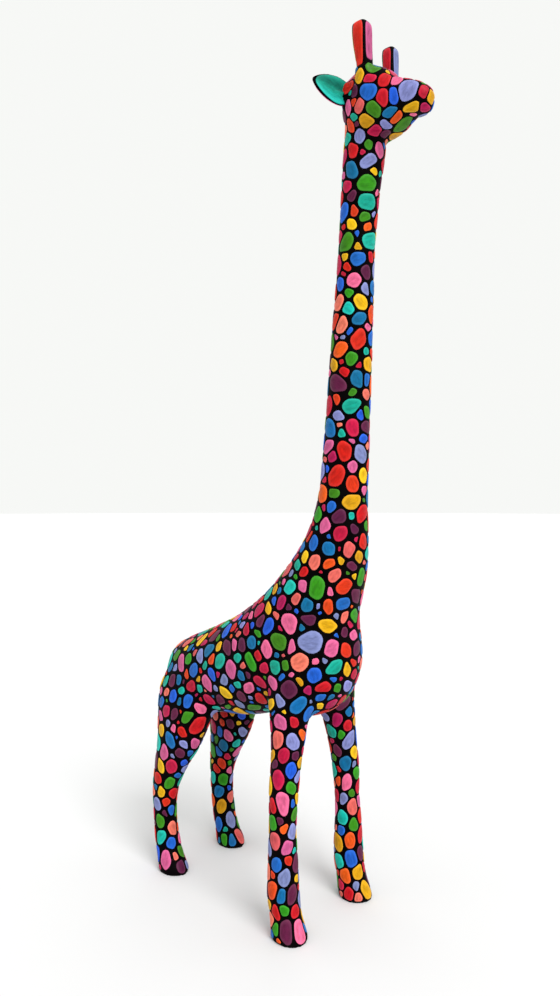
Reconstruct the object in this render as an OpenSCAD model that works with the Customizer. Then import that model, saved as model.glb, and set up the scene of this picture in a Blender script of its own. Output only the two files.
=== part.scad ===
// Carved and painted giraffe statue, glued up from separately carved blocks.
// Frame: +X is the way the giraffe faces, +Y is its left and +Z is up, in millimetres.
// The origin is on the surface that it stands on, under the middle of its outer box.

/* [Body] */
// Height of the statue, from the soles to the tips of the horns
statue_h = 600; // [540:10:720]
// Width of the barrel behind the shoulders
barrel_w = 76; // [70:1:86]
// Width of the neck at its thinnest, below the head
neck_w = 24; // [22:1:30]
// Width of the head across the brow
brow_w = 37; // [34:1:42]

/* [Legs] */
// Distance between the middles of the two front hooves
front_track = 70; // [66:1:76]
// Distance between the middles of the two rear hooves
rear_track = 62; // [58:1:68]
// Width of a leg at its thinnest, above the hoof
leg_w = 17; // [15:0.5:21]

/* [Ears, horns and tail] */
// Length of an ear outside the head
ear_l = 28; // [24:1:36]
// Width of an ear
ear_w = 18; // [14:1:20]
// Side of the four-sided right horn near its top; the left one is slimmer
horn_w = 11; // [9:0.5:12]
// Width of the tail above its tuft
tail_w = 7; // [6:0.5:9]

/* [Joinery] */
// Diameter of the dowels in the legs, the neck and the head
dowel_d = 8; // [6:1:10]
// Length of each of those dowels
dowel_l = 36; // [24:2:40]
// Diameter of the round tenons on the ears, horns and tail
tenon_d = 5; // [4:0.5:5]
// Glue line left round every dowel and tenon, on the radius
glue_gap = 0.1; // [0.05:0.05:0.3]

/* [Hidden] */

RIGHT = -1;
LEFT = 1;
ground_colour = "#1b171d";
horn_colour = "#e2402f";
ear_colour = "#17a08c";
wood_colour = "burlywood";

k = statue_h / 600;        // every section below is drawn for a statue 600 mm high
socket_end = 1;            // space left past the end of a dowel or tenon
horn_tenon_l = 10 * k;     // how deep the tenons go into their sockets
ear_tenon_l = 9;
tail_tenon_l = 13;
tenon_root = 5;            // how far a tenon runs back into its own horn or ear
round_sides = 32;

// Sides of the rings that each shape is lofted through
trunk_sides = 28;
skull_sides = 24;
leg_sides = 18;
horn_sides = 20;
ear_sides = 20;
tail_sides = 12;
// How square the skull and the horns are, as a power of the cosine: 1 is round
skull_power = 0.62;
horn_power = 0.55;

// Heights where the blocks are glued together
leg_joint_z = 118 * k;
neck_joint_z = 262 * k;
head_joint_z = 521 * k;

// Places of the dowels in those joints: [x, y]
front_leg_dowel = [23 * k, 31.2 * front_track / 70];
rear_leg_dowel = [-90 * k, 26 * rear_track / 62];
neck_dowel_x = 44.5 * k;
head_dowel_x = 66.5 * k;

// Sections square to the middle line of the trunk: [x, z, half of the depth, half of the width]
barrel = [for (s = [
    [-120, 150, 10, 8],
    [-115, 151, 22, 21],
    [-99, 153, 28, 29],
    [-76, 157, 32, 34],
    [-46, 164, 37, 37],
    [-18, 175.5, 39, 38],
    [8, 195, 38, 36],
    [29, 226, 30.5, 30]
]) [s[0], s[1], s[2], s[3] * barrel_w / 76]];

// Level sections of the chest between the shoulders, in the form of the legs' sections below
chest = [for (s = [
    [138, 11, 0, 6, 6],
    [142, 13, 0, 20, 18],
    [152, 15, 0, 31, 27],
    [166, 18, 0, 37, 32],
    [182, 20.5, 0, 38, 33.5],
    [200, 22.5, 0, 34.5, 32],
    [222, 28, 0, 25, 26],
    [240, 34, 0, 15, 16]
]) [s[0], s[1], s[2], s[3], s[4] * barrel_w / 76]];
neck_line = [for (s = [
    [42.5, 256, 23.5, 23],
    [48.5, 285, 17.5, 17.5],
    [51.5, 318, 15.6, 15.4],
    [54.7, 360, 14.5, 14.5],
    [58, 414, 13.2, 13.2],
    [61.3, 463, 12, 12],
    [64, 494, 12.4, 12.4],
    [67.5, 526, 13.8, 13.2],
    [71, 560, 13, 13]
]) [s[0], s[1], s[2] * neck_w / 24, s[3] * neck_w / 24]];
skull = [for (s = [
    [56.5, 558, 8, 8],
    [60.5, 558, 15.4, 13],
    [70, 556, 20, 17.2],
    [82, 551.5, 20.5, 18.5],
    [92, 548.5, 16.2, 15.3],
    [104, 547.5, 10.8, 10.8],
    [114, 543.9, 8.1, 8.5],
    [118.7, 542.8, 4.8, 4.5]
]) [s[0], s[1], s[2], s[3] * brow_w / 37]];

// Level sections up the left legs, from below the sole: [z, x, y, half of the depth, half of the width]
front_leg = [for (s = [
    [-6, 32.6, 36, 12.6, 11.5],
    [2.5, 32.6, 36, 12.6, 11.5],
    [14, 29.5, 36, 10.7, 10.2],
    [26, 27, 36, 10.8, 10.8],
    [44, 26.5, 36, 10.2, 10.2],
    [70, 26, 35.5, 9, 9],
    [95, 25.5, 34, 9.8, 9.6],
    [115, 25, 30.8, 11, 10.6],
    [135, 23.5, 27, 13.5, 12],
    [155, 22, 23.5, 17, 13.5],
    [180, 23, 20, 20, 14],
    [203, 21, 14, 14, 9]
]) [s[0], s[1], s[2] * front_track / 70, s[3] * leg_w / 17, s[4] * leg_w / 17]];
rear_leg = [for (s = [
    [-6, -95.5, 31, 12.8, 10.6],
    [2.5, -95.5, 31, 12.8, 10.6],
    [13, -100, 31, 10.2, 9.8],
    [26, -103.8, 31, 9.4, 9.2],
    [46, -106.3, 31, 9.2, 8.8],
    [65, -105.5, 30.5, 11.2, 9.5],
    [83, -99.5, 29.5, 16, 11],
    [102, -92.5, 28, 22, 12.5],
    [125, -89, 25, 28.5, 14],
    [148, -89, 21, 28.5, 14],
    [168, -87, 14, 17, 9]
]) [s[0], s[1], s[2] * rear_track / 62, s[3] * leg_w / 17, s[4] * leg_w / 17]];

// Level sections of the left horn and of the tail, from the bottom up, in the same form
horn_sections = [for (s = [
    [556, 79.5, 14.5, 4.6],
    [573, 79, 15, 4.5],
    [586, 78, 15.7, 5.2],
    [596.5, 77.5, 16, 5.5],
    [599.2, 77.3, 16, 5.1],
    [600, 77.2, 16, 4]
]) [s[0], s[1], s[2], s[3] * horn_w / 11, s[3] * horn_w / 11]];
left_horn_scale = [0.86, 0.86, 0.9];   // the left horn is slimmer and shorter
tail_sections = [for (s = [
    [80, -120.5, 1.6, 1.8],
    [86, -121, 3.4, 4.2],
    [98, -122, 3.8, 4.6],
    [110, -123, 3.2, 3.6],
    [126, -124.3, 3.2, 3.5],
    [145, -124.5, 3.6, 3.5],
    [158, -121, 4.5, 3.5],
    [166, -114, 5, 3.4],
    [171, -106, 5, 2.5]
]) [s[0], s[1], 0, s[2], s[3] * tail_w / 7]];
tail_tenon_x = -123 * k;   // where it starts, inside the tail
tail_tenon_z = 156 * k;

// The left ear's root in the head, and how far the ear turns back and rises
ear_root = [65, 12.5, 559] * k;
ear_sweep = 114;
ear_rise = 13;
// Sections along an ear: [part of its length, part of its width, half of its thickness]
ear_sections = [
    [-0.2, 0.5, 3],
    [0, 0.72, 3.6],
    [0.18, 0.95, 4.2],
    [0.4, 1, 4.2],
    [0.65, 0.84, 3.6],
    [0.85, 0.52, 2.6],
    [0.96, 0.24, 1.6],
    [1, 0.08, 0.8]
];
ear_hollow = 1.6;          // how deep the front of an ear is carved out
ear_tenon_back = 1.8;      // how far behind that front its tenon is

// Catmull-Rom value at t, from 0 to 1, between b and c
function eased_point(a, b, c, d, t) =
    (2 * b + (c - a) * t + (2 * a - 5 * b + 4 * c - d) * t * t
        + (3 * b - a - 3 * c + d) * t * t * t) / 2;

// The sections s with more eased in between, so that each step becomes several
function eased(s, steps) = [
    for (i = [0:len(s) - 2], j = [0:steps - 1])
        eased_point(s[max(i - 1, 0)], s[i], s[i + 1], s[min(i + 2, len(s) - 1)], j / steps),
    s[len(s) - 1]
];

function unit(v) = v / norm(v);

// Cosine or sine c, pushed out towards the corners of a square: power 1 is round, less is squarer
function corner(c, power) = sign(c) * pow(abs(c), power);

// Rings round a middle line in the XZ plane, each square to the line
function line_rings(sections, sides, steps, power = 1) =
    let (s = eased(sections, steps), last = len(s) - 1) [
        for (i = [0:last]) let (
            a = s[max(i - 1, 0)],
            b = s[min(i + 1, last)],
            along = unit([b[0] - a[0], b[1] - a[1]])
        ) [
            for (q = [0:sides - 1]) let (
                t = 360 * q / sides,
                depth = s[i][2] * corner(cos(t), power),
                width = s[i][3] * corner(sin(t), power)
            )
                [s[i][0] - along[1] * depth, width, s[i][1] + along[0] * depth] * k
        ]
    ];

// Level rings up a middle line, on one side of the statue
function level_rings(sections, side, sides, steps, power = 1) = [
    for (s = eased(sections, steps)) [
        for (q = [0:sides - 1]) let (t = 360 * (q + 0.5) / sides)
            [s[1] + s[3] * corner(cos(t), power), side * s[2] - s[4] * corner(sin(t), power), s[0]] * k
    ]
];

// Rings along an ear that points along +X, with its hollow towards +Y
function ear_rings(sides, steps) = [
    for (s = eased(ear_sections, steps)) [
        for (q = [0:sides - 1]) let (
            t = 360 * q / sides,
            bulge = sin(t),
            hollow = ear_hollow * min(1, 1.2 - s[0]) * bulge * bulge,
            lip = 0.5 * s[2] * bulge * (1 - bulge)
        )
            [s[0] * ear_l, bulge > 0 ? lip - hollow : s[2] * bulge, s[1] * ear_w / 2 * cos(t)]
    ]
];

// The statue's outer box along X, so that its middle can be put over the origin
trunk_rings = line_rings(concat(barrel, neck_line), trunk_sides, 3);
skull_rings = line_rings(skull, skull_sides, 3, skull_power);
tail_rings = level_rings(tail_sections, LEFT, tail_sides, 2);
rear_x = min([for (r = concat(trunk_rings, tail_rings)) for (p = r) p[0]]);
front_x = max([for (r = skull_rings) for (p = r) p[0]]);

// A solid through rings of points, closed at both ends
module loft(rings) {
    n = len(rings[0]);
    m = len(rings);
    polyhedron(
        points = [for (r = rings) each r],
        faces = [
            [for (i = [n - 1:-1:0]) i],
            for (j = [0:m - 2], i = [0:n - 1]) let (p = (i + 1) % n)
                [j * n + i, j * n + p, (j + 1) * n + p, (j + 1) * n + i],
            [for (i = [0:n - 1]) (m - 1) * n + i]
        ],
        convexity = 6
    );
}

// The part of the shape between two heights
module between(low, high) {
    intersection() {
        union() children();
        translate([-statue_h, -statue_h, low]) cube([2 * statue_h, 2 * statue_h, high - low]);
    }
}

module centred() {
    translate([-(rear_x + front_x) / 2, 0, 0]) children();
}

// An upright dowel through the joint at a height, or the hole for it when gap is more than 0
module dowel_at(x, y, joint_z, gap = 0) {
    length = dowel_l + (gap > 0 ? 2 * socket_end : 0);
    translate([x, y, joint_z - length / 2]) cylinder(h = length, d = dowel_d + 2 * gap, $fn = round_sides);
}

module all_leg_dowels(gap = 0) {
    for (side = [RIGHT, LEFT]) {
        dowel_at(front_leg_dowel[0], side * front_leg_dowel[1], leg_joint_z, gap);
        dowel_at(rear_leg_dowel[0], side * rear_leg_dowel[1], leg_joint_z, gap);
    }
}

// A horn's tenon stands upright in the crown
module horn_tenon(side, gap = 0) {
    foot = horn_sections[1];
    deep = horn_tenon_l + (gap > 0 ? socket_end : 0);
    translate([foot[1] * k, side * foot[2] * k, foot[0] * k - deep])
        cylinder(h = deep + tenon_root, d = tenon_d + 2 * gap, $fn = round_sides);
}

module place_ear(side) {
    mirror([0, side == RIGHT ? 1 : 0, 0])
        translate(ear_root) rotate([0, 0, ear_sweep]) rotate([0, -ear_rise, 0]) mirror([0, 1, 0]) children();
}

module ear_tenon(gap = 0) {
    deep = ear_tenon_l + (gap > 0 ? socket_end : 0);
    translate([-deep, -ear_tenon_back, 0]) rotate([0, 90, 0])
        cylinder(h = deep + tenon_root, d = tenon_d + 2 * gap, $fn = round_sides);
}

module tail_tenon(gap = 0) {
    deep = tail_tenon_l + (gap > 0 ? socket_end : 0);
    translate([tail_tenon_x, 0, tail_tenon_z]) rotate([0, 90, 0])
        cylinder(h = deep, d = tenon_d + 2 * gap, $fn = round_sides);
}

module torso() {
    color(ground_colour) centred() difference() {
        between(leg_joint_z, neck_joint_z) {
            loft(trunk_rings);
            loft(level_rings(chest, LEFT, trunk_sides, 3));
            for (side = [RIGHT, LEFT]) {
                loft(level_rings(front_leg, side, leg_sides, 3));
                loft(level_rings(rear_leg, side, leg_sides, 3));
            }
        }
        all_leg_dowels(glue_gap);
        dowel_at(neck_dowel_x, 0, neck_joint_z, glue_gap);
        tail_tenon(glue_gap);
    }
}
module neck() {
    color(ground_colour) centred() difference() {
        between(neck_joint_z, head_joint_z) loft(trunk_rings);
        dowel_at(neck_dowel_x, 0, neck_joint_z, glue_gap);
        dowel_at(head_dowel_x, 0, head_joint_z, glue_gap);
    }
}
module head() {
    color(ground_colour) centred() difference() {
        between(head_joint_z, statue_h) {
            loft(trunk_rings);
            loft(skull_rings);
        }
        dowel_at(head_dowel_x, 0, head_joint_z, glue_gap);
        for (side = [RIGHT, LEFT]) {
            horn_tenon(side, glue_gap);
            place_ear(side) ear_tenon(glue_gap);
        }
    }
}
module leg(sections, side) {
    color(ground_colour) centred() difference() {
        between(0, leg_joint_z) loft(level_rings(sections, side, leg_sides, 3));
        all_leg_dowels(glue_gap);
    }
}
// The left horn is shrunk about its foot
module carved_horn(side) {
    foot = [horn_sections[1][1], side * horn_sections[1][2], horn_sections[1][0]] * k;
    translate(foot) scale(side == LEFT ? left_horn_scale : [1, 1, 1]) translate(-foot)
        loft(level_rings(horn_sections, side, horn_sides, 2, horn_power));
}

module horn(side) {
    color(horn_colour) centred() {
        difference() {
            carved_horn(side);
            loft(skull_rings);
        }
        horn_tenon(side);
    }
}
module ear(side) {
    color(ear_colour) centred() {
        difference() {
            place_ear(side) loft(ear_rings(ear_sides, 2));
            loft(skull_rings);
        }
        place_ear(side) ear_tenon();
    }
}
module tail() {
    color(ground_colour) centred() {
        difference() {
            loft(tail_rings);
            loft(line_rings(barrel, trunk_sides, 3));
        }
        tail_tenon();
    }
}
module neck_dowel() {
    color(wood_colour) centred() dowel_at(neck_dowel_x, 0, neck_joint_z);
}
module head_dowel() {
    color(wood_colour) centred() dowel_at(head_dowel_x, 0, head_joint_z);
}
module leg_dowels() {
    color(wood_colour) centred() all_leg_dowels();
}

torso();
neck();
head();
leg(front_leg, RIGHT);  // leg_front_right
leg(front_leg, LEFT);  // leg_front_left
leg(rear_leg, RIGHT);  // leg_rear_right
leg(rear_leg, LEFT);  // leg_rear_left
horn(RIGHT);  // horn_right
horn(LEFT);  // horn_left
ear(RIGHT);  // ear_right
ear(LEFT);  // ear_left
tail();
neck_dowel();
head_dowel();
leg_dowels();
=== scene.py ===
"""The looks of the carved giraffe statue.

The CAD blocks become one smooth carved skin, which is cut again at their joints. On it lie the painted
spots: raised, rounded islands of paint that crowd together and leave the black ground showing between them.
Lengths are in metres, in the CAD's frame: +X the way the giraffe faces, +Y its left, +Z up.
"""

import math
import random

import bmesh
import bpy
import numpy as np
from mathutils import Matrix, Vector, noise
from mathutils.bvhtree import BVHTree


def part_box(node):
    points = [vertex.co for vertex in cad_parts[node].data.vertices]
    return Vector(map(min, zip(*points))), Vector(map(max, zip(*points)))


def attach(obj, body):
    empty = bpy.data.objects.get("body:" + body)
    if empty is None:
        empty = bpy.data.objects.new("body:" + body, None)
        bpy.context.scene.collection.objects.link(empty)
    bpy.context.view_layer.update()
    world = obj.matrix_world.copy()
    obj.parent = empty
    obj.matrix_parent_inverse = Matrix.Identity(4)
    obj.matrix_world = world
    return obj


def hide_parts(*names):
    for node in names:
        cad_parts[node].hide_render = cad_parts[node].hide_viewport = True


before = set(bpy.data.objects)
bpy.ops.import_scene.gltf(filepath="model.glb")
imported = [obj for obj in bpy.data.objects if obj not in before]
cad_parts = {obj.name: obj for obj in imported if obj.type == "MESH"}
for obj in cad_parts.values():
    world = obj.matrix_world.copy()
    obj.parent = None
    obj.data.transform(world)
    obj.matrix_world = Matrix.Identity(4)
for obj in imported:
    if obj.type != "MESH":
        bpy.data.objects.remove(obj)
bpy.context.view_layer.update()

MM = 0.001
UP = Vector((0, 0, 1))
SEED = 11

LEGS = ("leg_front_right", "leg_front_left", "leg_rear_right", "leg_rear_left")
TRUNK = ("torso", "neck", "head")
SMALL = ("horn_right", "horn_left", "ear_right", "ear_left", "tail")
LEG_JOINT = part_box("torso")[0].z
NECK_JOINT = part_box("torso")[1].z
HEAD_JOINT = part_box("neck")[1].z
JOINTS = (LEG_JOINT, NECK_JOINT, HEAD_JOINT)

# Linear colours of the paints, and how often each is used
PAINTS = {
    "red": ((0.60, 0.004, 0.014), 10),
    "orange": ((0.74, 0.045, 0.004), 8),
    "crimson": ((0.52, 0.004, 0.075), 10),
    "pink": ((0.76, 0.125, 0.300), 11),
    "coral": ((0.80, 0.140, 0.110), 9),
    "yellow": ((0.80, 0.430, 0.002), 10),
    "green": ((0.040, 0.260, 0.005), 11),
    "teal": ((0.004, 0.450, 0.350), 11),
    "peacock": ((0.001, 0.150, 0.380), 7),
    "blue": ((0.010, 0.125, 0.600), 10),
    "lavender": ((0.230, 0.260, 0.560), 8),
    "plum": ((0.115, 0.008, 0.050), 8),
}

# The carved skin
SKIN_VOXEL = 1.4 * MM
SMALL_VOXEL = 0.36 * MM
IN_JOINT = 0.01 * MM        # a point this close to a joint's height lies in it
OVERLAP = 1.5 * MM          # how far a block reaches through its flat joints
HORN_FOOT = 571.5 * MM      # height where the horns stand out of the head
EAR_ROOT = 16 * MM          # distance from the middle plane where the ears stand out of the head
LEG_REACH = 45 * MM         # no part of a leg is further than this in front of or behind its middle
BODY_ROUNDS = 40            # extra rounds of smoothing on the body, which hide its blocks
ROUNDS = 14                 # rounds of smoothing everywhere
SMOOTHING = 0.5             # how strong each round is
HEAD_LESS = 0.25            # how much weaker it is on the head
SOLE_LESS = 0.4             # and at the soles, which stay flat
SHARP = math.radians(50)    # edges that turn more than this, as at the joints, stay sharp
# The marks that a knife and a rasp leave: how big each kind is, and how deep in millimetres
WAVE_SIZE, WAVE_DEPTH = 24 * MM, 0.45
FLAT_SIZE, FLAT_DEPTH = 9 * MM, 0.04
FINE_SIZE, FINE_DEPTH = 7 * MM, 0.12
UPRIGHT = 0.55              # the flats are longer up and down than they are wide, by one over this

# The spots
SPOT_HEIGHT = 0.45 * MM
PANEL_HEIGHT = 0.4 * MM
LEAF_HEIGHT = 0.3 * MM
LEAF_LIFT = 8 * MM          # a leaf is dropped on its cupped ear from this far away
PANEL_END = 1.3 * MM        # bare ground above and below a horn's panel
PANEL_PART = 0.32           # half of a panel's width, as part of its horn's
PANEL_FROM = 8              # millimetres from a horn's middle, which is outside all its sides
LEAF_END = 0.9 * MM         # bare ground beyond a leaf's two ends
CLEAR = 0.6 * MM            # bare ground round the horns, ears and tail
STANDS_OUT = 0.3 * MM       # a horn, ear or tail is seen where it is this far out of the skin
TAIL_OUT = 1 * MM           # and the tail has spots where it is this far out of it
SOLE_EDGE = 1.6 * MM        # bare ground above the sole
EDGE_POINTS = 22
AT_CORNER = 0.05 * MM       # closer than this to a corner of a mesh, its outward direction rules
SAME_SIDE = 0.1             # spots whose outward directions agree less than this aren't neighbours
LEAST_REACH = 0.8 * MM      # a neighbour presses a spot's edge no nearer to its middle than this
FILLED = 0.55               # part of the gap that a new spot has to leave free
ALIKE = 4 * MM              # spots with less than this between them don't share a paint
UNEVEN = (0.85, 1.15)       # range of the chance factor on a spot's size and height
HAND_SWELL = 1.3            # how much a listed spot may grow into the room that is left
CHANCE_SWELL = (1.15, 1.4)  # the same for the scattered ones
CORNERS = (1.7, 3.6)        # powers of the spots' squared ovals: 2 is an ellipse
LOBES = (0, 0.06)           # how much three lobes stand out of a spot's edge
DROP = (-0.13, 0.13)        # how much fuller one end of a spot is than the other


# ---------------------------------------------------------------- meshes

def link(name, mesh):
    piece = bpy.data.objects.new(name, mesh)
    bpy.context.scene.collection.objects.link(piece)
    return piece


def coordinates(mesh):
    co = np.zeros(len(mesh.vertices) * 3)
    mesh.vertices.foreach_get("co", co)
    return co.reshape(-1, 3)


def set_coordinates(mesh, co):
    mesh.vertices.foreach_set("co", co.ravel())
    mesh.update()


def normals(mesh):
    out = np.zeros(len(mesh.vertices) * 3)
    mesh.vertex_normals.foreach_get("vector", out)
    return out.reshape(-1, 3)


def voxel_remeshed(bm, voxel):
    """The outer shell of everything in bm, as one new mesh of even quads."""
    source = bpy.data.meshes.new("source")
    bm.to_mesh(source)
    bm.free()
    holder = link("holder", source)
    remesh = holder.modifiers.new("remesh", "REMESH")
    remesh.mode = "VOXEL"
    remesh.voxel_size = voxel
    shown = holder.evaluated_get(bpy.context.evaluated_depsgraph_get())
    mesh = bpy.data.meshes.new_from_object(shown)
    bpy.data.objects.remove(holder)
    bpy.data.meshes.remove(source)
    keep_largest_part(mesh)
    return mesh


def keep_largest_part(mesh):
    """Deletes all but the largest connected part, such as bubbles inside a shell."""
    bm = bmesh.new()
    bm.from_mesh(mesh)
    unseen = set(bm.verts)
    parts = []
    while unseen:
        part = {unseen.pop()}
        edge_of_part = list(part)
        while edge_of_part:
            near = [e.other_vert(v) for v in edge_of_part for e in v.link_edges]
            edge_of_part = [v for v in set(near) if v in unseen]
            unseen.difference_update(edge_of_part)
            part.update(edge_of_part)
        parts.append(part)
    largest = max(parts, key=len)
    bmesh.ops.delete(bm, geom=[v for v in bm.verts if v not in largest], context="VERTS")
    bm.to_mesh(mesh)
    bm.free()


def smoothed(mesh, strength, rounds):
    """Moves every point towards the middle of its neighbours, by its own strength from 0 to 1."""
    co = coordinates(mesh)
    edges = np.zeros(len(mesh.edges) * 2, int)
    mesh.edges.foreach_get("vertices", edges)
    a, b = edges.reshape(-1, 2).T
    count = np.bincount(a, minlength=len(co)) + np.bincount(b, minlength=len(co))
    for _ in range(rounds):
        total = np.zeros_like(co)
        for axis in range(3):
            total[:, axis] = np.bincount(a, co[b, axis], len(co)) + np.bincount(b, co[a, axis], len(co))
        co += strength[:, None] * (total / count[:, None] - co)
    set_coordinates(mesh, co)


def step(x, low, high):
    """Rises smoothly from 0 at low to 1 at high."""
    t = np.clip((x - low) / (high - low), 0, 1)
    return t * t * (3 - 2 * t)


# ---------------------------------------------------------------- the carved skin

def add_overlapping(bm, node):
    """Adds a block to bm with its flat joint faces pushed through the joints, so that blocks overlap."""
    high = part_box(node)[1]
    first = len(bm.verts)
    bm.from_mesh(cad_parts[node].data)
    bm.verts.ensure_lookup_table()
    for v in bm.verts[first:]:
        for joint in JOINTS:
            if abs(v.co.z - joint) < IN_JOINT:
                v.co.z += OVERLAP if abs(high.z - joint) < IN_JOINT else -OVERLAP


def add_plug(bm, node, point, direction, swollen):
    """Adds the part of a horn or ear that is inside the head, swollen, to fill its socket."""
    plug = bmesh.new()
    plug.from_mesh(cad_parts[node].data)
    bmesh.ops.remove_doubles(plug, verts=plug.verts, dist=0.001 * MM)
    everything = plug.verts[:] + plug.edges[:] + plug.faces[:]
    cut = bmesh.ops.bisect_plane(plug, geom=everything, plane_co=point, plane_no=direction, clear_outer=True)
    edges = [e for e in cut["geom_cut"] if isinstance(e, bmesh.types.BMEdge)]
    bmesh.ops.holes_fill(plug, edges=edges, sides=0)
    plug.normal_update()
    for v in plug.verts:
        v.co += v.normal * swollen
    spare = bpy.data.meshes.new("plug")
    plug.to_mesh(spare)
    plug.free()
    bm.from_mesh(spare)
    bpy.data.meshes.remove(spare)


def fused_blocks():
    """The trunk, head and legs as one mesh, with the sockets of the horns and ears filled."""
    bm = bmesh.new()
    for node in TRUNK + LEGS:
        add_overlapping(bm, node)
    for side, node_side in ((-1, "right"), (1, "left")):
        out = Vector((0, side, 0))
        add_plug(bm, "horn_" + node_side, UP * HORN_FOOT, UP, swollen=1.3 * MM)
        add_plug(bm, "ear_" + node_side, out * EAR_ROOT, out, swollen=0.6 * MM)
    return voxel_remeshed(bm, SKIN_VOXEL)


def make_skin():
    """One seamless surface over the trunk, the head and the legs, smoothest on the body."""
    skin = fused_blocks()
    z = coordinates(skin)[:, 2]
    on_body = step(z, LEG_JOINT - 25 * MM, LEG_JOINT) * (1 - step(z, NECK_JOINT, NECK_JOINT + 20 * MM))
    smoothed(skin, SMOOTHING * on_body, BODY_ROUNDS)
    on_head = step(z, HEAD_JOINT, HEAD_JOINT + 15 * MM)
    at_sole = 1 - step(z, 2 * MM, 12 * MM)
    smoothed(skin, SMOOTHING - HEAD_LESS * on_head - SOLE_LESS * at_sole, ROUNDS)
    swell(skin, 0.35 * MM)
    carve_unevenly(skin)
    # nothing reaches below the floor
    co = coordinates(skin)
    co[:, 2] = np.maximum(co[:, 2], 0)
    set_coordinates(skin, co)
    return skin


def swell(mesh, distance):
    """Moves every point outwards, to make up for what the smoothing takes off."""
    set_coordinates(mesh, coordinates(mesh) + normals(mesh) * distance)


def carve_unevenly(mesh):
    """The slow waves and small flats that a knife and a rasp leave."""
    co = coordinates(mesh)
    out = normals(mesh)
    for i, p in enumerate(co):
        wave = noise.noise(Vector(p) / WAVE_SIZE)
        flat = noise.cell(Vector((p[0], p[1], p[2] * UPRIGHT)) / FLAT_SIZE) - 0.5
        fine = noise.noise(Vector(p) / FINE_SIZE)
        co[i] = p + out[i] * MM * (WAVE_DEPTH * wave + FLAT_DEPTH * flat + FINE_DEPTH * fine)
    set_coordinates(mesh, co)


def make_small(node):
    """A horn, ear or tail with its facets smoothed away."""
    bm = bmesh.new()
    bm.from_mesh(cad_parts[node].data)
    mesh = voxel_remeshed(bm, SMALL_VOXEL)
    smoothed(mesh, np.full(len(mesh.vertices), SMOOTHING), ROUNDS)
    swell(mesh, 0.12 * MM)
    mesh.shade_smooth()
    return mesh


def cut_between(mesh, low, high):
    """The part of a closed mesh between two heights, closed again with flat faces."""
    bm = bmesh.new()
    bm.from_mesh(mesh)
    for height, outward in ((low, -UP), (high, UP)):
        if height is None:
            continue
        everything = bm.verts[:] + bm.edges[:] + bm.faces[:]
        cut = bmesh.ops.bisect_plane(
            bm, geom=everything, plane_co=UP * height, plane_no=outward, clear_outer=True)
        edges = [e for e in cut["geom_cut"] if isinstance(e, bmesh.types.BMEdge)]
        caps = bmesh.ops.holes_fill(bm, edges=edges, sides=0)["faces"]
        bmesh.ops.triangulate(bm, faces=caps)
    return bm


def block(name, skin, low, high, keep=None):
    """The piece of the skin between two heights, or what keep chooses of it."""
    bm = cut_between(skin, low, high)
    if keep is not None:
        bmesh.ops.delete(bm, geom=[v for v in bm.verts if not keep(v.co)], context="VERTS")
    mesh = bpy.data.meshes.new(name)
    bm.to_mesh(mesh)
    bm.free()
    mesh.shade_smooth()
    mesh.set_sharp_from_angle(angle=SHARP)
    return link(name, mesh)


def make_blocks(skin):
    """The skin cut at the joints, as a piece for each block of wood."""
    pieces = {
        "torso": block("torso_skin", skin, LEG_JOINT, NECK_JOINT),
        "neck": block("neck_skin", skin, NECK_JOINT, HEAD_JOINT),
        "head": block("head_skin", skin, HEAD_JOINT, None),
    }
    for node in LEGS:
        low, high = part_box(node)
        middle = (low + high) / 2

        def near(p, middle=middle):
            return p.y * middle.y > 0 and abs(p.x - middle.x) < LEG_REACH

        pieces[node] = block(node + "_skin", skin, None, LEG_JOINT, near)
    return pieces


# ---------------------------------------------------------------- spots

class Surface:
    """Finds places on a mesh, with outward directions that turn smoothly from face to face."""

    def __init__(self, mesh):
        self.co = coordinates(mesh)
        self.out = normals(mesh)
        self.polygons = [tuple(p.vertices) for p in mesh.polygons]
        self.tree = BVHTree.FromPolygons([Vector(c) for c in self.co], self.polygons)

    def nearest(self, point):
        place, _, face, _ = self.tree.find_nearest(point)
        return self.with_normal(place, face)

    def straight_below(self, point, down):
        """Where a line down from the point meets the mesh, or else the place nearest to the line's end."""
        place, _, face, _ = self.tree.ray_cast(point, down)
        return self.nearest(point + down) if place is None else self.with_normal(place, face)

    def with_normal(self, place, face):
        corners = list(self.polygons[face])
        away = np.linalg.norm(self.co[corners] - np.array(place), axis=1)
        weight = 1 / (away + AT_CORNER)
        out = (self.out[corners] * weight[:, None]).sum(0)
        return place, Vector(out).normalized()


class Spot:
    """A painted spot: where it is, the way it lies, half its length and width, and the gap round it.

    swell is how much it may grow beyond that, into the room that its neighbours leave.
    """

    SAME_PLACE = 1e-7

    def __init__(self, place, out, along, half_long, half_wide, gap=1 * MM, paint=None, swell=1.0):
        self.place = place
        self.out = out
        self.along = (along - out * along.dot(out)).normalized()
        self.across = out.cross(self.along)
        self.gap = gap
        self.half_long = half_long
        self.half_wide = half_wide
        self.paint = paint
        self.swell = swell

    def reach(self, x, y):
        """How far its outline is from its middle, towards (x, y)."""
        length = math.hypot(x, y)
        return 1 / math.hypot(x / length / self.half_long, y / length / self.half_wide)

    def towards(self, other):
        """The other spot's direction on this one's flat, and its distance, or None at the same place."""
        away = other.place - self.place
        x, y = away.dot(self.along), away.dot(self.across)
        flat = math.hypot(x, y)
        if flat < self.SAME_PLACE:
            return None
        return x / flat, y / flat, away.length


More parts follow.
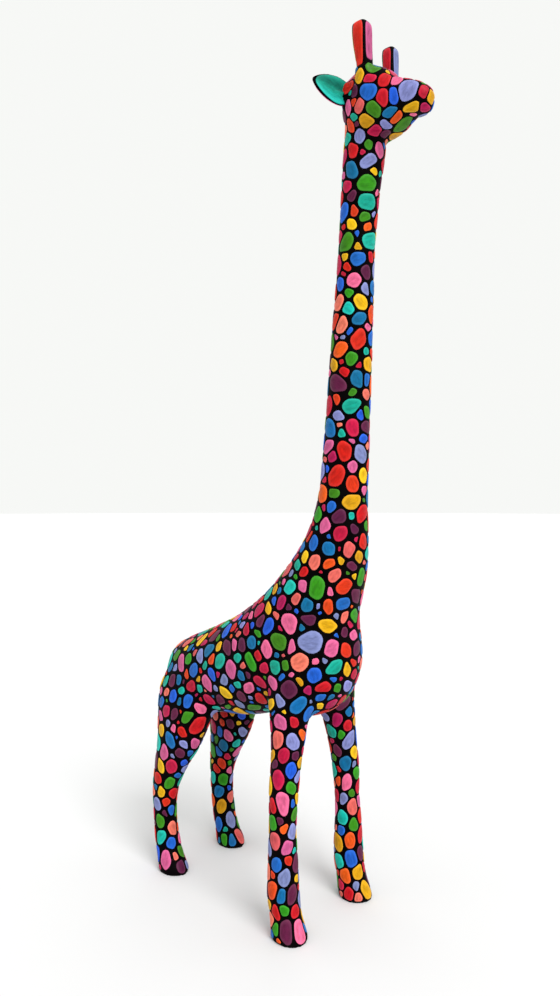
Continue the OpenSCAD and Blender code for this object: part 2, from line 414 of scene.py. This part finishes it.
class Crowd:
    """The spots so far, kept by place so that neighbours are quick to find."""

    CELL = 10 * MM

    def __init__(self):
        self.spots = []
        self.cells = {}

    def key(self, place):
        return tuple(int(math.floor(c / self.CELL)) for c in place)

    def add(self, spot):
        self.spots.append(spot)
        self.cells.setdefault(self.key(spot.place), []).append(spot)

    def near(self, place, reach=2):
        i, j, k = self.key(place)
        steps = range(-reach, reach + 1)
        for a in steps:
            for b in steps:
                for c in steps:
                    yield from self.cells.get((i + a, j + b, k + c), ())

    def has_room(self, spot, gap):
        for other in self.near(spot.place):
            if spot.out.dot(other.out) < SAME_SIDE:
                continue
            seen, back = spot.towards(other), other.towards(spot)
            if seen is None or back is None:
                return False
            x, y, distance = seen
            if spot.reach(x, y) + other.reach(back[0], back[1]) + gap > distance:
                return False
        return True


def turned(out, degrees):
    """A direction in the surface, turned up from level by some degrees."""
    level = UP.cross(out)
    surface_is_level = level.length < 0.2
    if surface_is_level:
        level = Vector((1, 0, 0)) - out * out.x
    level.normalize()
    angle = math.radians(degrees)
    return level * math.cos(angle) + out.cross(level) * math.sin(angle)


def region(place):
    """The part of the statue that a place is on, by how it is painted."""
    in_front = place.x > 0
    if place.z > HEAD_JOINT + 6 * MM:
        return "head"
    if place.z > NECK_JOINT + 14 * MM:
        return "neck"
    if place.z > LEG_JOINT + (14 if in_front else -20) * MM:
        return "torso" if place.x > -50 * MM else "rump"
    return "foreleg" if in_front else "hind leg"


# For each region: half widths of the big, middling, small and tiny spots in millimetres, how much
# longer than wide they may be, how far they may turn from upright in degrees, and the gap between them
SIZES = {
    "head": ((3.9, 3.2, 2.4, 1.6), (1.0, 1.5), 90, 0.85),
    "neck": ((4.2, 3.3, 2.4, 1.6), (1.15, 1.75), 80, 1.6),
    "torso": ((3.7, 2.9, 2.1, 1.4), (1.15, 1.95), 50, 2.2),
    "rump": ((3.7, 2.9, 2.1, 1.4), (1.15, 1.95), 50, 2.4),
    "foreleg": ((3.7, 3.1, 2.4, 1.7), (1.2, 2.0), 25, 1.15),
    "hind leg": ((3.7, 3.1, 2.4, 1.7), (1.2, 2.0), 25, 1.7),
    "tail": ((2.2, 1.9, 1.6, 1.3), (1.3, 2.2), 15, 0.9),
}
# Candidates of each size, per square metre
TRIES = (16000, 140000, 300000, 170000)

# Spots listed one by one: paint, then its place, half length and half width in millimetres, and its turn
# from level in degrees
FACE = (
    ("green", 87, -14, 566, 4.6, 3, 10),
    ("yellow", 83, -18.5, 564, 4, 3.6, 60),
    ("crimson", 89, -18, 560.5, 4.2, 2.4, 5),
    ("orange", 97, -12, 558, 5.2, 3.4, 60),
    ("pink", 104, -9, 556, 4.4, 3.4, 50),
    ("plum", 77.5, -18, 557.5, 4.2, 2.8, 85),
    ("blue", 88, -18, 552.5, 5, 4.7, 60),
    ("red", 97, -15, 547, 5.4, 3.4, 95),
    ("blue", 103.5, -12, 547, 5.2, 2.8, 95),
    ("lavender", 113, -9, 549, 6.9, 5.8, 55),
    ("red", 120, -4, 545.5, 4.8, 3.8, 70),
    ("yellow", 124, -0.5, 543.5, 5.4, 4, 95),
    ("crimson", 122, -2, 535, 4.4, 3.2, 20),
    ("yellow", 114, -7, 537, 7.5, 3.1, 5),
    ("peacock", 101, -12, 537, 5.4, 3, 15),
    ("green", 91, -17, 541.5, 5.2, 3.8, 120),
    ("coral", 81.5, -17, 546.5, 5.2, 2.8, 70),
    ("pink", 72, -16, 549, 5, 2.2, 85),
    ("yellow", 85, -16, 535.5, 5, 3.8, 150),
    ("orange", 104, -9, 531, 6.4, 2.6, 65),
    ("green", 102, 2.5, 534, 9, 3.6, 90),
    ("lavender", 97, -10, 524.5, 4, 3.2, 130),
    ("crimson", 87, -9, 530.5, 4.3, 3.8, 0),
    ("red", 72, -13, 539, 4.6, 2.8, 100),
    ("lavender", 77.5, -13, 530, 4.8, 2.8, 90),
    ("yellow", 91, 9, 533, 6, 4, 60),
    ("green", 84, -11, 524.5, 3, 2.2, 100),
    ("pink", 92, -2, 521.5, 5.6, 3.2, 100),
)
SHOULDER = (
    ("lavender", 46, -26, 197, 8.2, 6, 5),
    ("coral", 41, -31, 184, 5.9, 5.2, 30),
    ("pink", 32, -30, 209, 6.6, 5.2, 110),
    ("yellow", 55, -17, 208, 7.4, 4, 170),
    ("green", 25, -34, 195, 6, 5, 140),
    ("pink", 58, -17, 193, 6.2, 4.3, 35),
    ("teal", 60, -16, 180, 5.6, 3.6, 35),
    ("plum", 34, -33, 165, 6.3, 5.2, 80),
    ("blue", 50, -26, 175, 5.4, 3.8, 95),
    ("red", 54, -21, 164, 6, 4.6, 45),
    ("teal", 22, -35, 178, 4.6, 4.4, 0),
    ("peacock", 43, -32, 155, 6.4, 4.2, 45),
    ("blue", 55, -22, 156, 5, 3, 60),
    ("plum", 45, -26, 212, 5, 3.2, 175),
    ("peacock", 44, -26, 222, 4.6, 3.6, 85),
    ("orange", 54, -17, 221, 5.2, 3.2, 95),
    ("blue", 62, -9, 222, 5.6, 3.6, 0),
    ("crimson", 24, -31, 222, 5.6, 3.6, 60),
    ("blue", 15, -35, 206, 6.6, 3.8, 75),
    ("green", 48, -20, 233, 7, 4.8, 75),
    ("orange", 60, -9, 235, 5.6, 4.2, 5),
    ("teal", 30, -26, 232, 5.6, 4.4, 25),
)
HOOF = (
    ("plum", 42, -46, 9.5, 6.6, 4.4, 90),
    ("pink", 48, -37, 9.5, 6.4, 4.2, 90),
    ("green", 34, -48, 9, 4, 2.6, 90),
    ("red", 34, -47, 20, 5, 3, 110),
    ("green", 39, -44, 22, 3, 3, 0),
    ("red", 43, -37, 20, 4, 3, 70),
)

# The panels of each horn: front, back, right and left, each with its tone. The darker tones of the front
# panels are painted shade.
RIGHT_HORN_PAINTS_AND_SHADE = (("pink", -1.6), ("yellow", 0), ("orange", -0.5), ("blue", 0))
LEFT_HORN_PAINTS_AND_SHADE = (("lavender", -0.6), ("green", 0), ("red", -0.1), ("teal", 0))


def place_by_hand(crowd, surface):
    """Adds the listed spots, each at the place on the surface nearest to its own."""
    for paint, x, y, z, half_long, half_wide, turn in FACE + SHOULDER + HOOF:
        place, out = surface.nearest(Vector((x, y, z)) * MM)
        gap = SIZES[region(place)][3] * MM
        along = turned(out, turn)
        crowd.add(Spot(place, out, along, half_long * MM, half_wide * MM, gap, paint, HAND_SWELL))


def scatter(crowd, surface, rng, allowed, region_of):
    """Fills the surface with spots, the big ones first and the tiny ones into what is left."""
    triangles = np.array([(p[0], p[k], p[k + 1]) for p in surface.polygons for k in range(1, len(p) - 1)])
    corner = surface.co[triangles]
    doubled = np.linalg.norm(np.cross(corner[:, 1] - corner[:, 0], corner[:, 2] - corner[:, 0]), axis=1)
    dice = np.random.default_rng(SEED)
    for size, per_square_metre in enumerate(TRIES):
        tries = int(per_square_metre * doubled.sum() / 2)
        chosen = dice.choice(len(triangles), tries, p=doubled / doubled.sum())
        u, v = dice.random((2, tries))
        over = u + v > 1
        u[over], v[over] = 1 - u[over], 1 - v[over]
        a, b, c = corner[chosen].transpose(1, 0, 2)
        for p in a + (b - a) * u[:, None] + (c - a) * v[:, None]:
            spot = random_spot(surface, Vector(p), size, rng, region_of)
            if allowed(spot) and crowd.has_room(spot, spot.gap * FILLED):
                crowd.add(spot)


def random_spot(surface, place, size, rng, region_of):
    """A spot at the place, of a size that is 0, big, to 3, tiny, and turned and stretched by chance."""
    place, out = surface.nearest(place)
    widths, longer, turn, gap = SIZES[region_of(place)]
    half_wide = widths[size] * MM * rng.uniform(*UNEVEN)
    half_long = half_wide * rng.uniform(*longer)
    along = turned(out, 90 + rng.uniform(-turn, turn))
    return Spot(place, out, along, half_long, half_wide, gap * MM, swell=rng.uniform(*CHANCE_SWELL))


def squared_oval(spot, power, x, y):
    """How far an oval's edge is towards (x, y): power 2 is an ellipse, and more has fuller corners."""
    return 1 / (abs(x / spot.half_long) ** power + abs(y / spot.half_wide) ** power) ** (1 / power)


def walls_round(spot, crowd):
    """Straight walls half a gap short of each neighbour, and one above the sole: direction and distance."""
    down_x, down_y = -spot.along.z, -spot.across.z
    steep = math.hypot(down_x, down_y)
    faces_sideways = steep > 0.3
    if faces_sideways:
        yield down_x / steep, down_y / steep, max(LEAST_REACH, (spot.place.z - SOLE_EDGE) / steep)
    for other in crowd.near(spot.place):
        if other is spot or spot.out.dot(other.out) < SAME_SIDE:
            continue
        seen, back = spot.towards(other), other.towards(spot)
        if seen and back:
            mine, theirs = spot.reach(seen[0], seen[1]), other.reach(back[0], back[1])
            yield seen[0], seen[1], max(LEAST_REACH, seen[2] * mine / (mine + theirs) - spot.gap / 2)


def outline(spot, crowd, rng):
    """The spot's edge on its flat, as (x, y) points: an uneven oval, pressed flat by its neighbours."""
    power = rng.uniform(*CORNERS)
    phase, lobes, drop = rng.uniform(0, math.tau), rng.uniform(*LOBES), rng.uniform(*DROP)
    walls = list(walls_round(spot, crowd))
    rays, reach, limit = [], [], []
    for i in range(EDGE_POINTS):
        t = math.tau * i / EDGE_POINTS
        x, y = spot.half_long * math.cos(t), spot.half_wide * math.sin(t)
        length = math.hypot(x, y)
        x, y = x / length, y / length
        rays.append((x, y))
        uneven = 1 + lobes * math.sin(3 * t + phase) + drop * math.cos(t)
        reach.append(spot.swell * uneven * squared_oval(spot, power, x, y))
        limit.append(min((far / (x * a + y * b) for a, b, far in walls if x * a + y * b > 0.05), default=1))
    reach = [min(r, most) for r, most in zip(reach, limit)]
    for _ in range(2):
        soft = [(reach[i - 1] + 2 * reach[i] + reach[(i + 1) % EDGE_POINTS]) / 4 for i in range(EDGE_POINTS)]
        reach = [min(r, most) for r, most in zip(soft, limit)]
    return [(r * x, r * y) for r, (x, y) in zip(reach, rays)]


# Where an island's underside is, below the surface, as part of its height
UNDER = -0.35
# Rings of an island, from its underside round its edge to its top: part of the way out, and part of
# its height
RINGS = ((0.6, UNDER), (1.0, UNDER), (1.0, 0.35), (0.92, 0.78), (0.76, 0.97), (0.4, 1.0))


class Islands:
    """The mesh of all the spots of one paint."""

    def __init__(self):
        self.points = []
        self.faces = []
        self.rim = []
        self.tone = []
        self.brush = []

    def add(self, surface, spot, edge, height, tone, lift=0.0):
        """Adds a spot, laid on the nearest surface, or dropped on it straight from lift above it.

        Its tone is from -3, dark, to 1, light, and may be a function of the place on it.
        """
        first = len(self.points)
        n = len(edge)
        for part, tall in RINGS:
            for x, y in edge:
                self.put(surface, spot, x * part, y * part, tall * height, part, tone, lift)
        self.put(surface, spot, 0, 0, height, 0, tone, lift)
        self.put(surface, spot, 0, 0, UNDER * height, 1, tone, lift)
        top, bottom = first + n * len(RINGS), first + n * len(RINGS) + 1
        for ring in range(len(RINGS) - 1):
            for i in range(n):
                a, b = first + ring * n + i, first + ring * n + (i + 1) % n
                self.faces.append((a, b, b + n, a + n))
        last = first + n * (len(RINGS) - 1)
        for i in range(n):
            j = (i + 1) % n
            self.faces.append((last + i, last + j, top))
            self.faces.append((first + j, first + i, bottom))

    def put(self, surface, spot, x, y, height, rim, tone, lift):
        """Adds one point at (x, y) on the spot's flat, at a height above the surface."""
        flat = spot.place + spot.out * lift + spot.along * x + spot.across * y
        place, out = surface.straight_below(flat, -spot.out * lift) if lift else surface.nearest(flat)
        self.points.append(place + out * height)
        self.rim.append(rim)
        self.tone.append(tone(x, y) if callable(tone) else tone)
        self.brush.append((x, y, 0 if callable(tone) else tone * 0.37))

    def piece(self, name):
        mesh = bpy.data.meshes.new(name)
        mesh.from_pydata(self.points, [], self.faces)
        for attribute, kind, values in (("rim", "FLOAT", self.rim), ("tone", "FLOAT", self.tone)):
            mesh.attributes.new(attribute, kind, "POINT").data.foreach_set("value", values)
        brush = mesh.attributes.new("brush", "FLOAT_VECTOR", "POINT")
        brush.data.foreach_set("vector", np.array(self.brush).ravel())
        mesh.shade_smooth()
        return link(name, mesh)


def choose_paints(crowd, rng):
    """Gives every spot without a paint one that its neighbours don't have, if there is one."""
    names = list(PAINTS)
    shares = [PAINTS[n][1] for n in names]
    for spot in crowd.spots:
        if spot.paint is not None:
            continue
        taken = {
            other.paint for other in crowd.near(spot.place, 1)
            if (other.place - spot.place).length < spot.half_long + other.half_long + ALIKE
        }
        free = [(n, s) for n, s in zip(names, shares) if n not in taken] or list(zip(names, shares))
        spot.paint = rng.choices([n for n, _ in free], [s for _, s in free])[0]


def standing_out(meshes, surface):
    """A search tree of the parts of the meshes that stand out of the surface."""
    points, faces = [], []
    for mesh in meshes:
        for polygon in mesh.polygons:
            place, out = surface.nearest(polygon.center)
            if (polygon.center - place).dot(out) > STANDS_OUT:
                faces.append(range(len(points), len(points) + len(polygon.vertices)))
                points.extend(mesh.vertices[v].co for v in polygon.vertices)
    return BVHTree.FromPolygons(points, faces)


def add_crowd(islands, crowd, surface, rng):
    """Paints all the spots of a crowd, each a little higher or lower and lighter or darker by chance."""
    choose_paints(crowd, rng)
    for spot in crowd.spots:
        height = min(SPOT_HEIGHT, 0.2 * spot.half_wide) * rng.uniform(*UNEVEN)
        islands[spot.paint].add(surface, spot, outline(spot, crowd, rng), height, rng.uniform(-1, 1))


def paint_skin(islands, surface, small):
    """Spots all over the trunk, head and legs, clear of the horns, ears and tail and of the soles."""
    rng = random.Random(SEED)
    others = standing_out(small, surface)

    def allowed(spot):
        far = others.find_nearest(spot.place)[3]
        return spot.place.z > SOLE_EDGE + 0.6 * spot.half_long and far > CLEAR + spot.half_wide

    crowd = Crowd()
    place_by_hand(crowd, surface)
    scatter(crowd, surface, rng, allowed, region)
    add_crowd(islands, crowd, surface, rng)


def paint_tail(islands, tail, skin_surface):
    """Narrow spots down the tail, where it stands out of the rump."""

    def allowed(spot):
        place, out = skin_surface.nearest(spot.place)
        return (spot.place - place).dot(out) > TAIL_OUT

    rng = random.Random(SEED)
    surface = Surface(tail)
    crowd = Crowd()
    scatter(crowd, surface, rng, allowed, lambda place: "tail")
    add_crowd(islands, crowd, surface, rng)


def panel(spot, power, taper):
    """The edge of a long panel, which is wider at its far end by taper, and at its near end narrower."""
    edge = []
    for i in range(2 * EDGE_POINTS):
        t = math.pi * i / EDGE_POINTS
        x, y = spot.half_long * math.cos(t), spot.half_wide * math.sin(t)
        length = math.hypot(x, y)
        reach = squared_oval(spot, power, x / length, y / length) / length
        edge.append((x * reach, y * reach * (1 + taper * x * reach / spot.half_long)))
    return edge


def paint_horn(islands, node, mesh, paints):
    """A long panel up each of a horn's four sides: front, back, right and left, each with its tone, which on
    the front panels is darkened as painted shade.
    """
    surface = Surface(mesh)
    low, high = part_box(node)
    sides = (Vector((1, 0, 0)), Vector((-1, 0, 0)), Vector((0, -1, 0)), Vector((0, 1, 0)))
    for (paint, tone), out in zip(paints, sides):
        # the crown falls away to the side, so that a horn's outer panel starts lower
        outer = out.y * low.y > 0
        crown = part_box("head")[1].z - (6 if outer else 2) * MM
        middle = Vector(((low.x + high.x) / 2, (low.y + high.y) / 2, (crown + high.z) / 2))
        half_long = (high.z - crown) / 2 - PANEL_END
        half_wide = PANEL_PART * (high.y - low.y)
        place, _ = surface.nearest(middle + out * PANEL_FROM * MM)
        spot = Spot(place, out, UP, half_long, half_wide)
        # a front panel's darker tone is painted shade
        islands[paint].add(surface, spot, panel(spot, power=5, taper=0.1), PANEL_HEIGHT, tone)


def ear_measures(surface, side):
    """An ear's middle, the ways to its tip and out of its hollow, and half its length and breadth.

    They are those of the part that is outside the head.
    """
    outside = surface.co[surface.co[:, 1] * side > 0.7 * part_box("head")[1].y]
    middle = outside.mean(0)
    _, _, axes = np.linalg.svd(outside - middle, full_matrices=False)
    tip, face = Vector(axes[0]), Vector(axes[2])
    if tip.y * side < 0:
        tip.negate()
    if face.x < 0:
        face.negate()
    reach = (outside - middle) @ np.array(tip)
    width = (outside - middle) @ np.array(tip.cross(face))
    half_long = (reach.max() - reach.min()) / 2
    half_wide = (width.max() - width.min()) / 2
    return Vector(middle), tip, face, half_long, half_wide


def paint_ear(islands, mesh, side):
    """A teal leaf in the ear's hollow, and a pink one on its back."""
    surface = Surface(mesh)
    middle, tip, face, half_long, half_wide = ear_measures(surface, side)
    below = face.cross(tip)
    turn = 1
    if below.z > 0:
        below.negate()
        turn = -1

    # the teal leaf's tone: a dark brush streak, and painted shade from the top of the hollow
    def streak_and_shade(x, y):
        """Dark along the upper middle of the leaf, where a brush streak runs, and painted shade that darkens
        the hollow towards its top, leaving it light below.
        """
        part = turn * y / half_wide
        return 1.2 * part - 3.0 * math.exp(-((part + 0.3) / 0.38) ** 2)

    # the back's leaf hangs a little below the ear's middle, so that its lower edge shows from the front
    for paint, out, drop, inset, tone in (("teal", face, -0.1, 0.8, streak_and_shade), ("pink", -face, 1.5, 0, 0)):
        place = middle + below * drop * MM
        spot = Spot(place, out, tip, half_long - LEAF_END, half_wide - inset * MM)
        edge = panel(spot, power=2.1, taper=-0.3)
        islands[paint].add(surface, spot, edge, LEAF_HEIGHT, tone, LEAF_LIFT)


# ---------------------------------------------------------------- materials

def new_material(name):
    material = bpy.data.materials.new(name)
    material.use_nodes = True
    nodes = material.node_tree.nodes
    return material, nodes, material.node_tree.links, nodes["Principled BSDF"]


def noise_texture(nodes, links, vector, scale):
    texture = nodes.new("ShaderNodeTexNoise")
    texture.inputs["Scale"].default_value = scale
    texture.inputs["Detail"].default_value = 4.0
    texture.inputs["Roughness"].default_value = 0.6
    links.new(vector, texture.inputs["Vector"])
    return texture.outputs["Fac"]


def stretched(nodes, links, vector, scale):
    mapping = nodes.new("ShaderNodeMapping")
    mapping.inputs["Scale"].default_value = scale
    links.new(vector, mapping.inputs["Vector"])
    return mapping.outputs["Vector"]


def ramp(nodes, links, value, low, dark, high, light):
    """A colour that turns from dark, where the value is low, to light, where it is high."""
    made = nodes.new("ShaderNodeValToRGB")
    links.new(value, made.inputs["Fac"])
    for element, place, colour in zip(made.color_ramp.elements, (low, high), (dark, light)):
        element.position = place
        element.color = (*colour, 1)
    return made.outputs["Color"]


def map_range(nodes, links, value, low, high, to_low, to_high):
    """The value, with low to high turned into to_low to to_high."""
    made = nodes.new("ShaderNodeMapRange")
    links.new(value, made.inputs["Value"])
    for socket, number in (("From Min", low), ("From Max", high), ("To Min", to_low), ("To Max", to_high)):
        made.inputs[socket].default_value = number
    return made.outputs["Result"]


def mixed(nodes, links, factor, a, b):
    """A colour from a to b, each of them a colour or a socket."""
    made = nodes.new("ShaderNodeMix")
    made.data_type = "RGBA"
    links.new(factor, made.inputs["Factor"])
    for socket, value in ((made.inputs["A"], a), (made.inputs["B"], b)):
        if isinstance(value, tuple):
            socket.default_value = (*value, 1)
        else:
            links.new(value, socket)
    return made.outputs["Result"]


def add_bump(nodes, links, shader, height, distance):
    bump = nodes.new("ShaderNodeBump")
    bump.inputs["Distance"].default_value = distance
    bump.inputs["Strength"].default_value = 1.0
    links.new(height, bump.inputs["Height"])
    links.new(bump.outputs["Normal"], shader.inputs["Normal"])


def attribute(nodes, name, output):
    made = nodes.new("ShaderNodeAttribute")
    made.attribute_name = name
    return made.outputs[output]


def ground_paint():
    """Black acrylic over wood: brushed down the grain, hardly shiny, and in patches a little less deep."""
    material, nodes, links, shader = new_material("ground_paint")
    place = nodes.new("ShaderNodeTexCoord").outputs["Object"]
    strokes = noise_texture(nodes, links, stretched(nodes, links, place, (1, 1, 0.22)), 900)
    patches = noise_texture(nodes, links, place, 70)
    deep, thin = (0.0005, 0.0004, 0.0004), (0.003, 0.002, 0.0024)
    links.new(ramp(nodes, links, patches, 0.3, deep, 0.75, thin), shader.inputs["Base Color"])
    links.new(map_range(nodes, links, strokes, 0.3, 0.7, 0.4, 0.6), shader.inputs["Roughness"])
    shader.inputs["Specular IOR Level"].default_value = 0.015
    add_bump(nodes, links, shader, strokes, 0.10 * MM)
    return material


def spot_paint(name, colour):
    """Acrylic laid on with a small brush: dabbed and brushed in streaks along the spot, and paler at the
    rim, which is painted highlight where the raised edge catches light, over a little paint built up there.
    """
    material, nodes, links, shader = new_material("paint_" + name)
    brush = attribute(nodes, "brush", "Vector")
    streaks = noise_texture(nodes, links, stretched(nodes, links, brush, (0.3, 1, 1)), 800)
    dabs = noise_texture(nodes, links, stretched(nodes, links, brush, (0.4, 1, 1)), 480)
    deep = tuple(c * 0.6 for c in colour)
    # the pale colour is painted highlight for the rim, where the raised edge of a spot catches light
    pale = tuple(min(1, c * 1.15 + 0.02) for c in colour)
    brushed = mixed(nodes, links, map_range(nodes, links, dabs, 0.35, 0.68, 0, 1), deep, colour)
    rim = attribute(nodes, "rim", "Fac")
    # how much painted highlight the rim gets, most at its outer edge
    edge = map_range(nodes, links, rim, 0.6, 0.92, 0, 0.6)
    rim_highlighted = mixed(nodes, links, edge, brushed, pale)
    tone = attribute(nodes, "tone", "Fac")
    shade = nodes.new("ShaderNodeHueSaturation")
    links.new(map_range(nodes, links, tone, -1, 1, 0.488, 0.512), shade.inputs["Hue"])
    links.new(map_range(nodes, links, tone, -3, 1, 0.42, 1.11), shade.inputs["Value"])
    links.new(rim_highlighted, shade.inputs["Color"])
    links.new(shade.outputs["Color"], shader.inputs["Base Color"])
    links.new(map_range(nodes, links, streaks, 0.3, 0.7, 0.34, 0.52), shader.inputs["Roughness"])
    shader.inputs["Specular IOR Level"].default_value = 0.12
    add_bump(nodes, links, shader, streaks, 0.08 * MM)
    return material


def bare_wood():
    """The dowels' pale wood, with its grain along them."""
    material, nodes, links, shader = new_material("bare_wood")
    place = nodes.new("ShaderNodeTexCoord").outputs["Object"]
    grain = noise_texture(nodes, links, stretched(nodes, links, place, (1, 1, 0.08)), 1200)
    dark, light = (0.36, 0.2, 0.09), (0.62, 0.42, 0.22)
    links.new(ramp(nodes, links, grain, 0.3, dark, 0.7, light), shader.inputs["Base Color"])
    links.new(map_range(nodes, links, grain, 0.3, 0.7, 0.55, 0.75), shader.inputs["Roughness"])
    add_bump(nodes, links, shader, grain, 0.08 * MM)
    return material


# ---------------------------------------------------------------- stage

FLOOR_RADIUS = 14
SKY_STRENGTH = 0.96
SUN_STRENGTH = 2.2
SUN_RAYS = (-0.75, 0.25, -0.75)         # the way that they go
CAMERA_PLACE = (0.366, -0.401, 0.2935)
CAMERA_TURN = 42.8                      # degrees, anticlockwise from looking along +Y
LENS = 26.6                             # millimetres


def make_floor():
    """A wide, pale, matt floor."""
    bm = bmesh.new()
    bmesh.ops.create_circle(bm, cap_ends=True, segments=96, radius=FLOOR_RADIUS)
    mesh = bpy.data.meshes.new("floor")
    bm.to_mesh(mesh)
    bm.free()
    floor = link("floor", mesh)
    material, nodes, links, shader = new_material("floor")
    shader.inputs["Base Color"].default_value = (0.74, 0.74, 0.745, 1)
    shader.inputs["Roughness"].default_value = 0.75
    mesh.materials.append(material)


def make_lights():
    """An even pale sky, and a soft sun over the camera's right shoulder."""
    world = bpy.data.worlds.new("world")
    world.use_nodes = True
    background = world.node_tree.nodes["Background"]
    background.inputs["Color"].default_value = (0.97, 0.98, 0.96, 1)
    background.inputs["Strength"].default_value = SKY_STRENGTH
    bpy.context.scene.world = world
    data = bpy.data.lights.new("key", "SUN")
    data.energy = SUN_STRENGTH
    data.angle = math.radians(30)
    lamp = bpy.data.objects.new("key", data)
    bpy.context.scene.collection.objects.link(lamp)
    lamp.rotation_euler = Vector(SUN_RAYS).to_track_quat("-Z", "Y").to_euler()
    bpy.context.scene.view_settings.view_transform = "Standard"


def make_camera():
    """Level, close and wide: at the statue's front right, a little below half its height."""
    data = bpy.data.cameras.new("camera")
    data.lens = LENS
    camera = bpy.data.objects.new("camera", data)
    bpy.context.scene.collection.objects.link(camera)
    camera.location = CAMERA_PLACE
    camera.rotation_euler = (math.radians(90), 0, math.radians(CAMERA_TURN))
    bpy.context.scene.camera = camera


# ---------------------------------------------------------------- the statue

def dress(piece, node, material):
    """Gives a piece its material and its place in the statue, for a CAD node if one is named."""
    piece.data.materials.clear()
    piece.data.materials.append(material)
    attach(piece, "root")
    if node:
        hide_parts(node)


def main():
    make_camera()
    make_floor()
    make_lights()
    black = ground_paint()
    skin = make_skin()
    surface = Surface(skin)
    small = {node: make_small(node) for node in SMALL}
    islands = {name: Islands() for name in PAINTS}
    paint_skin(islands, surface, small.values())
    paint_tail(islands, small["tail"], surface)
    paint_horn(islands, "horn_right", small["horn_right"], RIGHT_HORN_PAINTS_AND_SHADE)
    paint_horn(islands, "horn_left", small["horn_left"], LEFT_HORN_PAINTS_AND_SHADE)
    paint_ear(islands, small["ear_right"], -1)
    paint_ear(islands, small["ear_left"], 1)
    for node, piece in make_blocks(skin).items():
        dress(piece, node, black)
    for node, mesh in small.items():
        dress(link(node + "_skin", mesh), node, black)
    for name, spots in islands.items():
        dress(spots.piece("spots_" + name), None, spot_paint(name, PAINTS[name][0]))
    wood = bare_wood()
    for node in ("neck_dowel", "head_dowel", "leg_dowels"):
        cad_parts[node].data.materials.clear()
        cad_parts[node].data.materials.append(wood)


main()
